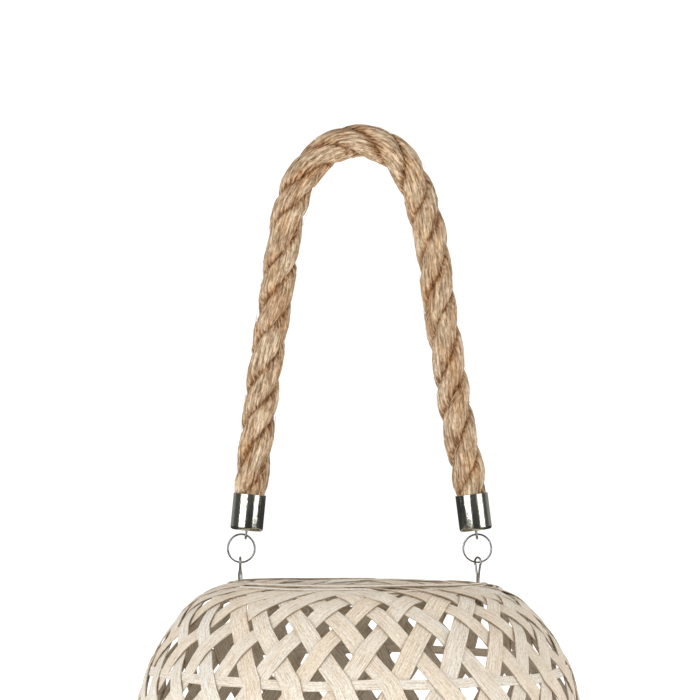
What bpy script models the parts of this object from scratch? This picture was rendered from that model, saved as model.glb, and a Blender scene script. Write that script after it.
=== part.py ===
"""Hanging lantern: an open diagonal-weave bamboo basket with a stiff rope handle.

The basket stands on a foot ring at z = 0 and its axis is the world Z axis.
The handle is a thick rope in two metal end caps. Each cap hangs in a split ring,
and each ring in a wire eyelet whose legs pass down through the basket's rim.
All sizes are in metres.
"""

import math

import bmesh
import bpy
from mathutils import Euler, Matrix, Vector

OBJECT_NAME = "hanging_lantern"

# Basket wall: a superellipse turned about Z.
BELLY_RADIUS = 0.154
BELLY_HEIGHT = 0.1208
SHOULDER_RISE = 0.1444
SHAPE_POWER = 2.6
WALL_THICKNESS = 0.0052
STRIP_THICKNESS = 0.0012
STRIP_WIDTH = 0.0120
STRIPS_EACH_WAY = 28
STRIP_SLANT = math.radians(33.0)
OUTER_PHASE = math.radians(8.2)
INNER_PHASE = math.radians(9.8)
BOTTOM_BAND_HEIGHT = 0.004
TOP_BAND_HEIGHT = 0.003
WEAVE_TOP_Z = 0.2425
WEAVE_BOTTOM_Z = 0.0085

# Hoops of split cane held between the two layers of strips, about one for every third or
# fourth row of crossings. Rows are counted up from the upper hoop.
UPPER_HOOP_HEIGHT = 0.1905
HOOP_ROWS = {"hoop_upper": 0, "hoop_middle": -3, "hoop_lower": -6}
ROW_SEARCH_STEPS = 24
HOOP_WIDTH = 0.0058
HOOP_THICKNESS = 0.0012
HOOP_STEPS = 48

# Rim: a cane core under a folded border.
RIM_RADIUS = 0.0815
RIM_TOP_Z = 0.2508
RIM_SKIN = 0.0018
BORDER_DEPTH = 0.0125
BORDER_HALF_WIDTH = 0.0106
BORDER_ROUNDNESS = 0.8
BORDER_SIDES = 6
CORE_RADIUS = 0.0034
CORE_HEIGHT = 0.2430
CORE_SIDES = 8
RIM_STEPS = 40

# Base: a plate wedged in the basket, and a foot ring nailed under it.
FOOT_INNER_RADIUS = 0.0920
FOOT_OUTER_RADIUS = 0.1090
FOOT_THICKNESS = 0.0044
PLATE_BOTTOM_Z = 0.0048
PLATE_TOP_Z = 0.0130
PLATE_BOTTOM_RADIUS = 0.1020
PLATE_TOP_RADIUS = 0.1085
BASE_STEPS = 48
NAIL_COUNT = 6
NAIL_CIRCLE_RADIUS = 0.0970
NAIL_HEAD_RADIUS = 0.0025
NAIL_HEAD_THICKNESS = 0.0010
NAIL_SHANK_RADIUS = 0.0010
NAIL_BOTTOM_Z = 0.0006
NAIL_LENGTH = 0.0100
NAIL_POINT = 0.0012
NAIL_SIDES = 8

# Glass, its seat, and the candle.
GLASS_RADIUS = 0.0475
GLASS_WALL = 0.0030
GLASS_FLOOR = 0.0040
GLASS_HEIGHT = 0.1500
GLASS_CORNER = 0.0020
GLASS_STEPS = 32
SEAT_WIDTH = 0.0060
SEAT_HEIGHT = 0.0060
SEAT_CLEARANCE = 0.0010
CANDLE_RADIUS = 0.0300
CANDLE_HEIGHT = 0.0800
CANDLE_SHOULDER = 0.0030
CANDLE_FOOT_CHAMFER = 0.0010
POOL_RADIUS = 0.0120
POOL_RIM_DROP = 0.0010
POOL_DEPTH = 0.0020
CANDLE_STEPS = 24
WICK_RADIUS = 0.0009
WICK_DEPTH = 0.0120
WICK_STANDOUT = 0.0110
WICK_LEAN = 0.0016

# Ring, eyelet, cap and staple.
RING_RADIUS = 0.0096
RING_CENTRE_Z = 0.2720
RING_WIRE_RADIAL = 0.0013
RING_WIRE_AXIAL = 0.0025
RING_X = {"left": -0.0808, "right": 0.0812}
RING_STEPS = 28
RING_SIDES = 8
EYELET_X = {"left": -0.0815, "right": 0.0815}
EYELET_TURN = {"left": 0.0, "right": math.radians(35.0)}
EYELET_WIRE_RADIUS = 0.00075
EYE_RADIUS = 0.00335
EYE_OPEN_ANGLE = math.radians(45.0)
EYE_SIDES = 8
LEG_SPACING = 0.0018
LEG_TOP_Z = 0.2530
LEG_BOTTOM_Z = 0.2385
LEG_FOOT = ((0.0050, 0.2338), (0.0022, 0.2356))
EYELET_BORE_RADIUS = 0.0021
BORE_SIDES = 16
BORE_LENGTH = 0.04
CAP_RADIUS = 0.0112
CAP_WALL = 0.0008
CAP_LENGTH = 0.0250
CAP_OUTER_EDGE = ((0.0, 0.0024), (0.0009, 0.0006), (0.0024, 0.0))
CAP_INNER_EDGE = (0.0014, 0.0022)
CAP_HOLE_RADIUS = 0.0036
CAP_BOTTOM_Z = 0.2843
CAP_BOTTOM_X = {"left": -0.0773, "right": 0.0803}
CAP_TILT = {"left": math.radians(5.5), "right": math.radians(-7.2)}
CAP_STEPS = 24
STAPLE_WIRE_RADIUS = 0.0007
STAPLE_RADIUS = 0.0025
STAPLE_DROP = 0.0031
STAPLE_FOOT = 0.0062
STAPLE_BEND = 0.0008
STAPLE_SIDES = 8

# Rope handle: its centreline in the XZ plane, from the left cap to the right one.
ROPE_RADIUS = 0.0112
ROPE_END_RADIUS = 0.0100
ROPE_END_INSET = 0.0034
ROPE_TAPER_START = 0.0256
ROPE_TAPER_END = 0.0310
ROPE_SPACING = 0.0150
ROPE_ROUTE = (
    (-0.0727, 0.3300), (-0.0701, 0.3490), (-0.0678, 0.3690), (-0.0652, 0.3900),
    (-0.0623, 0.4110), (-0.0591, 0.4315), (-0.0562, 0.4520), (-0.0534, 0.4730),
    (-0.0500, 0.4960), (-0.0453, 0.5140), (-0.0390, 0.5280), (-0.0305, 0.5390),
    (-0.0185, 0.5480), (-0.0040, 0.5525), (0.0105, 0.5508), (0.0225, 0.5450),
    (0.0325, 0.5340), (0.0400, 0.5190), (0.0456, 0.5010), (0.0496, 0.4830),
    (0.0530, 0.4600), (0.0564, 0.4315), (0.0600, 0.4110), (0.0632, 0.3900),
    (0.0662, 0.3690), (0.0695, 0.3490), (0.0738, 0.3300),
)

GAP = 0.0003
MERGE = 0.00001
CUTTER_OVERRUN = 0.003
TUBE_RESOLUTION = 2
MERIDIAN_SAMPLES = 900
MERIDIAN_STEP = 0.01
SPLINE_SAMPLES = 20


def clear_scene():
    for thing in list(bpy.data.objects):
        bpy.data.objects.remove(thing, do_unlink=True)


def make_collection(name):
    collection = bpy.data.collections.new(name)
    bpy.context.scene.collection.children.link(collection)
    return collection


clear_scene()
PARTS = make_collection(OBJECT_NAME)
CUTTERS = make_collection(OBJECT_NAME + "_cutters")


# Materials

def make_material(name, colour, roughness, metallic=0.0, alpha=1.0):
    material = bpy.data.materials.new(name)
    material.use_nodes = True
    shader = material.node_tree.nodes["Principled BSDF"]
    shader.inputs["Base Color"].default_value = (*colour, 1.0)
    shader.inputs["Roughness"].default_value = roughness
    shader.inputs["Metallic"].default_value = metallic
    shader.inputs["Alpha"].default_value = alpha
    return material


def whitewashed_bamboo(name):
    return make_material(name, (0.72, 0.63, 0.52), 0.75)


def raw_cane(name):
    return make_material(name, (0.60, 0.47, 0.33), 0.70)


def plywood(name):
    return make_material(name, (0.62, 0.49, 0.34), 0.65)


def nickel(name):
    return make_material(name, (0.66, 0.64, 0.60), 0.22, metallic=1.0)


def steel(name):
    return make_material(name, (0.55, 0.55, 0.56), 0.40, metallic=1.0)


def jute(name):
    return make_material(name, (0.56, 0.42, 0.28), 0.90)


def clear_glass(name):
    return make_material(name, (0.90, 0.95, 0.93), 0.05, alpha=0.35)


def wax(name):
    return make_material(name, (0.90, 0.86, 0.76), 0.45)


def cotton(name):
    return make_material(name, (0.80, 0.78, 0.72), 0.90)


# Shape helpers

def add_object(name, data, material, collection=None):
    thing = bpy.data.objects.new(name, data)
    (collection or PARTS).objects.link(thing)
    if material is not None:
        data.materials.append(material(name))
    return thing


def profile_mesh(name, points, closed):
    """A chain of edges in the XZ plane."""
    mesh = bpy.data.meshes.new(name)
    shape = bmesh.new()
    verts = [shape.verts.new((x, 0.0, z)) for x, z in points]
    for first, second in zip(verts, verts[1:]):
        shape.edges.new((first, second))
    if closed:
        shape.edges.new((verts[-1], verts[0]))
    shape.to_mesh(mesh)
    shape.free()
    return mesh


def turned(name, points, steps, material, closed=True, collection=None):
    """Turn a profile about the object's own Z axis."""
    thing = add_object(name, profile_mesh(name, points, closed), material, collection)
    screw = thing.modifiers.new("turn", "SCREW")
    screw.axis = "Z"
    screw.angle = math.tau
    screw.steps = steps
    screw.render_steps = steps
    screw.use_merge_vertices = True
    screw.merge_threshold = MERGE
    screw.use_smooth_shade = True
    return thing


def tube(name, points, radius, material, radii=None, closed=False):
    """A round wire or rope along a list of points."""
    curve = bpy.data.curves.new(name, "CURVE")
    curve.dimensions = "3D"
    curve.bevel_depth = radius
    curve.bevel_resolution = TUBE_RESOLUTION
    curve.use_fill_caps = not closed
    spline = curve.splines.new("POLY")
    spline.points.add(len(points) - 1)
    spline.use_cyclic_u = closed
    spline.use_smooth = True
    for index, point in enumerate(points):
        spline.points[index].co = (*point, 1.0)
        spline.points[index].radius = radii[index] / radius if radii else 1.0
    return add_object(name, curve, material)


def as_cutter(thing, place):
    thing.location = place
    thing.hide_render = True
    thing.display_type = "WIRE"
    return thing


def cutter_cylinder(name, radius, height, place, sides):
    mesh = bpy.data.meshes.new(name)
    shape = bmesh.new()
    bmesh.ops.create_cone(
        shape, cap_ends=True, segments=sides, radius1=radius, radius2=radius, depth=height
    )
    shape.to_mesh(mesh)
    shape.free()
    return as_cutter(add_object(name, mesh, None, CUTTERS), place)


def cut(thing, cutters):
    for cutter in cutters:
        boolean = thing.modifiers.new("cut_" + cutter.name, "BOOLEAN")
        boolean.operation = "DIFFERENCE"
        boolean.solver = "EXACT"
        boolean.object = cutter


def lengths_along(points):
    lengths = [0.0]
    for first, second in zip(points, points[1:]):
        lengths.append(lengths[-1] + (second - first).length)
    return lengths


def catmull_rom(points, spacing):
    """Points at an even spacing along a smooth curve through the given points."""
    dense = []
    ends = [points[0] * 2.0 - points[1]] + list(points) + [points[-1] * 2.0 - points[-2]]
    for index in range(1, len(ends) - 2):
        p0, p1, p2, p3 = ends[index - 1:index + 3]
        for step in range(SPLINE_SAMPLES):
            t = step / SPLINE_SAMPLES
            dense.append(0.5 * (
                2.0 * p1 + (p2 - p0) * t + (2.0 * p0 - 5.0 * p1 + 4.0 * p2 - p3) * t * t
                + (3.0 * p1 - p0 - 3.0 * p2 + p3) * t * t * t
            ))
    dense.append(ends[-2])
    lengths = lengths_along(dense)
    count = round(lengths[-1] / spacing)
    result = []
    index = 0
    for step in range(count + 1):
        target = lengths[-1] * step / count
        while index < len(lengths) - 2 and lengths[index + 1] < target:
            index += 1
        part = (target - lengths[index]) / (lengths[index + 1] - lengths[index])
        result.append(dense[index].lerp(dense[index + 1], part))
    return result


# The basket wall's meridian

def wall_point(u, offset):
    """Radius and height on the wall's middle surface, moved out by offset."""
    middle = -0.5 * WALL_THICKNESS
    radius = (BELLY_RADIUS + middle + offset) * math.cos(u) ** (2.0 / SHAPE_POWER)
    rise = (SHOULDER_RISE + middle + offset) * abs(math.sin(u)) ** (2.0 / SHAPE_POWER)
    return radius, BELLY_HEIGHT + math.copysign(rise, u)


def parameter_at(height):
    """The meridian parameter where the middle surface has this height."""
    rise = (height - BELLY_HEIGHT) / (SHOULDER_RISE - 0.5 * WALL_THICKNESS)
    return math.copysign(math.asin(abs(rise) ** (0.5 * SHAPE_POWER)), rise)


def twist_between(u_from, u_to):
    """The angle about Z through which a strip turns between two parameters."""
    total = 0.0
    radius, height = wall_point(u_from, 0.0)
    for step in range(1, MERIDIAN_SAMPLES + 1):
        u = u_from + (u_to - u_from) * step / MERIDIAN_SAMPLES
        next_radius, next_height = wall_point(u, 0.0)
        run = math.hypot(next_radius - radius, next_height - height)
        total += run * math.tan(STRIP_SLANT) / (0.5 * (radius + next_radius))
        radius, height = next_radius, next_height
    return math.copysign(total, u_to - u_from)


def parameter_of_row(row):
    """The meridian parameter of a row at or below the upper hoop."""
    high = parameter_at(UPPER_HOOP_HEIGHT)
    low = parameter_at(WEAVE_BOTTOM_Z)
    start = high
    wanted = row * math.pi / STRIPS_EACH_WAY
    for _ in range(ROW_SEARCH_STEPS):
        middle = 0.5 * (low + high)
        if twist_between(start, middle) < wanted:
            low = middle
        else:
            high = middle
    return high


def evenly_spaced(u_from, u_to, count):
    """Parameters that part the meridian between two ends into equal lengths."""
    us = [u_from + (u_to - u_from) * k / MERIDIAN_SAMPLES for k in range(MERIDIAN_SAMPLES + 1)]
    lengths = lengths_along([Vector(wall_point(u, 0.0)) for u in us])
    marks = []
    index = 0
    for step in range(count):
        target = lengths[-1] * step / count
        while lengths[index + 1] < target:
            index += 1
        marks.append(us[index])
    return marks


def weave_rows():
    """Meridian parameters of the rows of corners in a layer of strips."""
    bottom = parameter_at(WEAVE_BOTTOM_Z)
    low, middle, high = (parameter_of_row(row) for row in sorted(HOOP_ROWS.values()))
    top = parameter_at(WEAVE_TOP_Z)
    bottom_band = parameter_at(WEAVE_BOTTOM_Z + BOTTOM_BAND_HEIGHT)
    top_band = parameter_at(WEAVE_TOP_Z - TOP_BAND_HEIGHT)
    rows = [bottom] + evenly_spaced(bottom_band, low, 2) + evenly_spaced(low, middle, 2)
    rows += evenly_spaced(middle, high, 2) + evenly_spaced(high, top_band, 4)
    return rows + [top_band, top]


def strip_layer(name, lean, phase, offset):
    """One layer of slanting strips, joined by a band at the top and at the bottom."""
    rows = weave_rows()
    start = parameter_at(UPPER_HOOP_HEIGHT)
    shape = bmesh.new()
    grid = []
    for u in rows:
        radius, height = wall_point(u, offset)
        half = STRIP_WIDTH / (2.0 * radius * math.cos(STRIP_SLANT))
        turn = phase + lean * twist_between(start, u)
        line = []
        for strip in range(STRIPS_EACH_WAY):
            centre = turn + math.tau * strip / STRIPS_EACH_WAY
            for angle in (centre - half, centre + half):
                line.append(shape.verts.new(
                    (radius * math.sin(angle), -radius * math.cos(angle), height)
                ))
        grid.append(line)
    columns = 2 * STRIPS_EACH_WAY
    for row in range(len(rows) - 1):
        in_band = row in (0, len(rows) - 2)
        for column in range(0, columns, 1 if in_band else 2):
            after = (column + 1) % columns
            shape.faces.new(
                (grid[row][column], grid[row][after], grid[row + 1][after], grid[row + 1][column])
            )
    mesh = bpy.data.meshes.new(name)
    shape.to_mesh(mesh)
    shape.free()
    layer = add_object(name, mesh, whitewashed_bamboo)
    solid = layer.modifiers.new("thickness", "SOLIDIFY")
    solid.thickness = STRIP_THICKNESS
    solid.offset = 0.0
    solid.use_even_offset = True
    return layer


def build_weave():
    spread = 0.5 * (WALL_THICKNESS - STRIP_THICKNESS)
    strip_layer("weave_outer_strips", -1.0, OUTER_PHASE, spread)
    strip_layer("weave_inner_strips", 1.0, INNER_PHASE, -spread)


def build_hoops():
    for name, row in HOOP_ROWS.items():
        u = parameter_of_row(row)
        radius, z = wall_point(u, 0.0)
        ahead = Vector(wall_point(u + MERIDIAN_STEP, 0.0))
        behind = Vector(wall_point(u - MERIDIAN_STEP, 0.0))
        along = (ahead - behind).normalized() * 0.5 * HOOP_WIDTH
        out = Vector((along.y, -along.x)).normalized() * 0.5 * HOOP_THICKNESS
        centre = Vector((radius, z))
        corners = (centre + out + along, centre + out - along,
                   centre - out - along, centre - out + along)
        turned(name, [tuple(corner) for corner in corners], HOOP_STEPS, raw_cane)


# Rim

def rim_outline(inset):
    """The border's arched section, drawn from its outer foot over to its inner foot."""
    foot_z = RIM_TOP_Z - BORDER_DEPTH
    half = BORDER_HALF_WIDTH - inset
    rise = RIM_TOP_Z - inset - foot_z
    points = []
    for step in range(BORDER_SIDES + 1):
        angle = math.pi * step / BORDER_SIDES
        out = math.copysign(abs(math.cos(angle)) ** BORDER_ROUNDNESS, math.cos(angle))
        up = max(math.sin(angle), 0.0) ** BORDER_ROUNDNESS if step < BORDER_SIDES else 0.0
        points.append((RIM_RADIUS + half * out, foot_z + rise * up))
    return points


def build_rim():
    bores = []
    for side, x in EYELET_X.items():
        centre = (x, 0.0, CORE_HEIGHT)
        bores.append(cutter_cylinder(
            "eyelet_bore_" + side, EYELET_BORE_RADIUS, BORE_LENGTH, centre, BORE_SIDES
        ))
    outline = list(reversed(rim_outline(0.0))) + rim_outline(RIM_SKIN)
    border = turned("rim_border", list(reversed(outline)), RIM_STEPS, whitewashed_bamboo)
    cut(border, bores)
    section = []
    for step in range(CORE_SIDES):
        angle = -math.tau * step / CORE_SIDES
        section.append((RIM_RADIUS + CORE_RADIUS * math.cos(angle),
                        CORE_HEIGHT + CORE_RADIUS * math.sin(angle)))
    core = turned("rim_core_hoop", section, RIM_STEPS, raw_cane)
    cut(core, bores)


# Base

def nail_places():
    for number in range(NAIL_COUNT):
        angle = math.tau * (number + 0.5) / NAIL_COUNT
        yield number + 1, NAIL_CIRCLE_RADIUS * math.cos(angle), NAIL_CIRCLE_RADIUS * math.sin(angle)


def nail_hole(number, x, y):
    """A cutter with room for one nail's shank and head, open at the bottom."""
    room = 2.0 * GAP
    shank = NAIL_SHANK_RADIUS + room
    head = NAIL_HEAD_RADIUS + room
    head_top = NAIL_HEAD_THICKNESS + GAP
    hole = turned("nail_hole_%d" % number, (
        (0.0, NAIL_LENGTH + GAP), (shank, NAIL_LENGTH + GAP), (shank, head_top),
        (head, head_top), (head, -CUTTER_OVERRUN), (0.0, -CUTTER_OVERRUN),
    ), NAIL_SIDES, None, closed=False, collection=CUTTERS)
    return as_cutter(hole, (x, y, NAIL_BOTTOM_Z))


def build_base():
    plate = turned("base_plate", (
        (0.0, PLATE_TOP_Z), (PLATE_TOP_RADIUS, PLATE_TOP_Z),
        (PLATE_BOTTOM_RADIUS, PLATE_BOTTOM_Z), (0.0, PLATE_BOTTOM_Z),
    ), BASE_STEPS, plywood, closed=False)
    foot = turned("foot_ring", (
        (FOOT_OUTER_RADIUS, FOOT_THICKNESS), (FOOT_OUTER_RADIUS, 0.0),
        (FOOT_INNER_RADIUS, 0.0), (FOOT_INNER_RADIUS, FOOT_THICKNESS),
    ), BASE_STEPS, plywood)
    holes = []
    for number, x, y in nail_places():
        holes.append(nail_hole(number, x, y))
        nail = turned("foot_nail_%d" % number, (
            (0.0, NAIL_LENGTH), (NAIL_SHANK_RADIUS, NAIL_LENGTH - NAIL_POINT),
            (NAIL_SHANK_RADIUS, NAIL_HEAD_THICKNESS), (NAIL_HEAD_RADIUS, NAIL_HEAD_THICKNESS),
            (NAIL_HEAD_RADIUS, 0.0), (0.0, 0.0),
        ), NAIL_SIDES, steel, closed=False)
        nail.location = (x, y, NAIL_BOTTOM_Z)
    cut(plate, holes)
    cut(foot, holes)


# Glass and candle

def build_glass():
    bottom = PLATE_TOP_Z + GAP
    top = bottom + GLASS_HEIGHT
    seat_inner = GLASS_RADIUS + SEAT_CLEARANCE
    turned("glass_seat_ring", (
        (seat_inner + SEAT_WIDTH, bottom + SEAT_HEIGHT), (seat_inner + SEAT_WIDTH, bottom),
        (seat_inner, bottom), (seat_inner, bottom + SEAT_HEIGHT),
    ), GLASS_STEPS, plywood)
    inner = GLASS_RADIUS - GLASS_WALL
    turned("glass_cylinder", (
        (0.0, bottom + GLASS_FLOOR), (inner - GLASS_CORNER, bottom + GLASS_FLOOR),
        (inner, bottom + GLASS_FLOOR + GLASS_CORNER), (inner, top), (GLASS_RADIUS, top),
        (GLASS_RADIUS, bottom + GLASS_CORNER), (GLASS_RADIUS - GLASS_CORNER, bottom),
        (0.0, bottom),
    ), GLASS_STEPS, clear_glass, closed=False)


def build_candle():
    bottom = PLATE_TOP_Z + GAP + GLASS_FLOOR + GAP
    top = bottom + CANDLE_HEIGHT
    bore = WICK_RADIUS + GAP
    turned("candle", (
        (0.0, top - WICK_DEPTH), (bore, top - WICK_DEPTH), (bore, top - POOL_DEPTH),
        (POOL_RADIUS, top - POOL_RIM_DROP), (CANDLE_RADIUS - CANDLE_SHOULDER, top),
        (CANDLE_RADIUS, top - CANDLE_SHOULDER), (CANDLE_RADIUS, bottom + CANDLE_FOOT_CHAMFER),
        (CANDLE_RADIUS - CANDLE_FOOT_CHAMFER, bottom), (0.0, bottom),
    ), CANDLE_STEPS, wax, closed=False)
    foot = top - WICK_DEPTH + GAP
    tip = top + WICK_STANDOUT
    tube("wick", (
        Vector((0.0, 0.0, foot)), Vector((0.0, 0.0, top)),
        Vector((0.25 * WICK_LEAN, 0.0, 0.5 * (top + tip))), Vector((WICK_LEAN, 0.0, tip)),
    ), WICK_RADIUS, cotton)


# Rings, eyelets, caps, staples and rope

def build_ring(side):
    """A split ring, hanging in the XZ plane."""
    section = []
    for step in range(RING_SIDES):
        angle = -math.tau * step / RING_SIDES
        section.append((RING_RADIUS + 0.5 * RING_WIRE_RADIAL * math.cos(angle),
                        0.5 * RING_WIRE_AXIAL * math.sin(angle)))
    ring = turned("ring_" + side, section, RING_STEPS, nickel)
    ring.location = (RING_X[side], 0.0, RING_CENTRE_Z)
    ring.rotation_euler = Euler((math.radians(90.0), 0.0, 0.0))


def build_eyelet(side):
    """A wire bent to a teardrop eye, with two legs down through the rim."""
    eye_z = RING_CENTRE_Z - RING_RADIUS
    leg = 0.5 * LEG_SPACING
    half = [*LEG_FOOT, (leg, LEG_BOTTOM_Z), (leg, LEG_TOP_Z)]
    arc = []
    for step in range(EYE_SIDES + 1):
        angle = -EYE_OPEN_ANGLE + (math.pi + 2.0 * EYE_OPEN_ANGLE) * step / EYE_SIDES
        arc.append((EYE_RADIUS * math.cos(angle), eye_z + EYE_RADIUS * math.sin(angle)))
    outline = half + arc + [(-y, z) for y, z in reversed(half)]
    points = [Vector((0.0, y, z)) for y, z in outline]
    eyelet = tube("eyelet_" + side, points, EYELET_WIRE_RADIUS, nickel)
    eyelet.location = (EYELET_X[side], 0.0, 0.0)
    eyelet.rotation_euler = Euler((0.0, 0.0, EYELET_TURN[side]))


def cap_frame(side):
    turn = Matrix.Rotation(CAP_TILT[side], 4, "Y")
    return Matrix.Translation((CAP_BOTTOM_X[side], 0.0, CAP_BOTTOM_Z)) @ turn


def build_cap(side):
    inner = CAP_RADIUS - CAP_WALL
    inset, level = CAP_INNER_EDGE
    edge = [(CAP_RADIUS - inward, height) for inward, height in CAP_OUTER_EDGE]
    cap = turned("cap_" + side, [
        (CAP_RADIUS, CAP_LENGTH), *edge, (CAP_HOLE_RADIUS, 0.0), (CAP_HOLE_RADIUS, CAP_WALL),
        (inner - inset, CAP_WALL), (inner, level), (inner, CAP_LENGTH),
    ], CAP_STEPS, nickel)
    cap.matrix_world = cap_frame(side)


def build_staple(side):
    """The wire loop under a cap that the ring passes through."""
    foot_z = CAP_WALL + GAP + STAPLE_WIRE_RADIUS
    half = [
        (STAPLE_FOOT, foot_z), (STAPLE_RADIUS + STAPLE_BEND, foot_z),
        (STAPLE_RADIUS, foot_z - STAPLE_BEND),
    ]
    arc = []
    for step in range(STAPLE_SIDES + 1):
        angle = -math.pi * step / STAPLE_SIDES
        arc.append((STAPLE_RADIUS * math.cos(angle),
                    -STAPLE_DROP + STAPLE_RADIUS * math.sin(angle)))
    outline = half + arc + [(-y, z) for y, z in reversed(half)]
    points = [Vector((0.0, y, z)) for y, z in outline]
    staple = tube("staple_" + side, points, STAPLE_WIRE_RADIUS, nickel)
    staple.matrix_world = cap_frame(side)


def build_rope():
    left = cap_frame("left")
    right = cap_frame("right")
    levels = (ROPE_END_INSET, ROPE_TAPER_START, ROPE_TAPER_END)
    start = [left @ Vector((0.0, 0.0, level)) for level in levels]
    end = [right @ Vector((0.0, 0.0, level)) for level in reversed(levels)]
    route = [start[-1]] + [Vector((x, 0.0, z)) for x, z in ROPE_ROUTE] + [end[0]]
    middle = catmull_rom(route, ROPE_SPACING)
    points = start[:-1] + middle + end[1:]
    radii = [ROPE_END_RADIUS] * 2 + [ROPE_RADIUS] * len(middle) + [ROPE_END_RADIUS] * 2
    tube("rope_handle", points, ROPE_RADIUS, jute, radii)


def build_handle():
    for side in ("left", "right"):
        build_eyelet(side)
        build_ring(side)
        build_cap(side)
        build_staple(side)
    build_rope()


build_weave()
build_hoops()
build_rim()
build_base()
build_glass()
build_candle()
build_handle()
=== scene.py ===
"""Looks for the hanging lantern: woven bamboo, twisted jute, nickel, glass and wax.

Everything is in metres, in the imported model's own frame: +Z up, the front towards -Y.
"""

import math

import bpy
import numpy as np
from mathutils import Matrix, Vector, noise


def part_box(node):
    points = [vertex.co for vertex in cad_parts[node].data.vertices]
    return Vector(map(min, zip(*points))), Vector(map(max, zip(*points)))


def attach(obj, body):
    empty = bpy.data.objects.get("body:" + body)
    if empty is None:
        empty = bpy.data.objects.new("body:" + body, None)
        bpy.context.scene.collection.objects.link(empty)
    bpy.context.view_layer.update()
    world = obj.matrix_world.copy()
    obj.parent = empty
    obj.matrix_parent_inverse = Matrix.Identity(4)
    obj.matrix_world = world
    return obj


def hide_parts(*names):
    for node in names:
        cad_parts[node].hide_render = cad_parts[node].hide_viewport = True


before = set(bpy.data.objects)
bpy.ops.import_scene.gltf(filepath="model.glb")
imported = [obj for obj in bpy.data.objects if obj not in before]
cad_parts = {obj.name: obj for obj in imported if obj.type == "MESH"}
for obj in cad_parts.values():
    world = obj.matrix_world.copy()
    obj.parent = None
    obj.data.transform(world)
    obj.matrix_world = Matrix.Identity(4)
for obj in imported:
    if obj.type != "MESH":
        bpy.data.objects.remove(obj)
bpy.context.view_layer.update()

# Basket wall: the outer outline, from the foot up, over the shoulder and down inside the rim.
BELLY_HEIGHT = 0.1208
SHOULDER_RISE = 0.1444
BELLY_RADIUS = 0.1540
SHAPE_POWER = 2.6
FOOT_HEIGHT = 0.0065
SHOULDER = (
    (0.1516, 0.1682), (0.1484, 0.1810), (0.1432, 0.1950), (0.1354, 0.2088), (0.1264, 0.2225),
    (0.1172, 0.2330), (0.1093, 0.2400), (0.1020, 0.2443), (0.0950, 0.2474), (0.0885, 0.2496),
    (0.0825, 0.2505), (0.0775, 0.2497), (0.0739, 0.2468), (0.0724, 0.2425), (0.0723, 0.2380),
    (0.0730, 0.2335), (0.0742, 0.2290),
)
UPPER_HOOP_HEIGHT = 0.1905
MIDDLE_DEPTH = 0.0015

# Strips. Distances up the wall are measured from the upper hoop, along the outline. A ZONE is where
# something fades in or out: the distances at which it starts and ends.
STRIPS = 28
STRIP_ROWS = 240
END_GAP = 0.003
SPACING = math.tau / STRIPS
STRIP_THICKNESS = 0.00080
WEAVE_LIFT = 0.00095
SLANT_PLACES = (-0.30, -0.02, 0.0, 0.020, 0.036, 0.050, 0.062, 0.070, 0.078, 0.086, 0.094, 0.12)
SLANT_DEGREES = (34.0, 34.5, 32.0, 30.0, 35.5, 38.2, 43.0, 54.0, 65.0, 72.0, 76.0, 79.0)
WIDTH_PLACES = (-0.25, 0.0, 0.055)
WIDTHS = (0.0128, 0.0127, 0.0116)
WIDTH_SPREAD = (0.93, 1.05)
EDGE_WAVE = 0.00030
EDGE_PACES = (28.0, 60.0)
CUP_SPREAD = (-0.00012, 0.00022)
PHASE = {"left": math.radians(8.2), "right": math.radians(9.8)}
LEAN = {"left": -1.0, "right": 1.0}

# How far each front strip strays from even spacing, in degrees, at five places up the wall. A
# scratch program fitted these values to the photo's weave. They were rounded, and over half of
# them were then changed. PHASE comes from the same fit. The other strips stray at random: the
# spread of a whole strip, then of its five places.
DRIFT_SPREADS = (1.1, 0.6)
DRIFT_FOOT_ZONE = (-0.12, -0.02)
DRIFT_PLACES = (-0.012, 0.0, 0.020, 0.036, 0.052)
DRIFT = {
    "left": {
        -5: (-0.2, -0.4, 0.2, -2.0, -1.5), -4: (0.5, 0.5, -0.4, -1.6, 1.0),
        -3: (0.5, 2.0, 1.6, 2.3, 2.4), -2: (-1.5, 0.0, -0.8, -2.0, -1.7),
        -1: (-0.6, 0.3, -0.6, -0.9, -1.4), 0: (-1.5, -0.4, -1.4, -1.5, -2.0),
        1: (1.2, 0.3, 0.3, -0.3, 0.3), 2: (1.0, 0.4, 1.5, 1.1, 0.3),
        3: (1.8, 0.8, 2.4, 2.7, 2.6), 4: (0.6, -1.0, 2.0, 1.8, 0.6),
        5: (0.5, 0.5, 0.8, 1.6, 1.5),
    },
    "right": {
        -6: (2.4, 2.6, 2.2, 2.4, 2.1), -5: (2.0, 2.6, 0.3, 0.6, 1.8),
        -4: (1.6, 1.9, 0.6, 1.0, 0.7), -3: (1.7, 1.0, 1.1, 1.1, 1.0),
        -2: (0.6, -0.2, -0.4, -0.4, -0.7), -1: (-1.3, -1.2, -0.9, -0.5, -1.4),
        0: (0.0, -0.7, -1.0, -0.9, -1.3), 1: (-0.8, -0.1, -1.1, -1.3, -1.4),
        2: (0.9, 0.8, 0.2, 0.3, -0.3), 3: (-1.2, -0.4, -1.2, -1.1, -2.0),
        4: (-2.2, -1.5, -0.9, 0.4, 0.4),
    },
}

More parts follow.
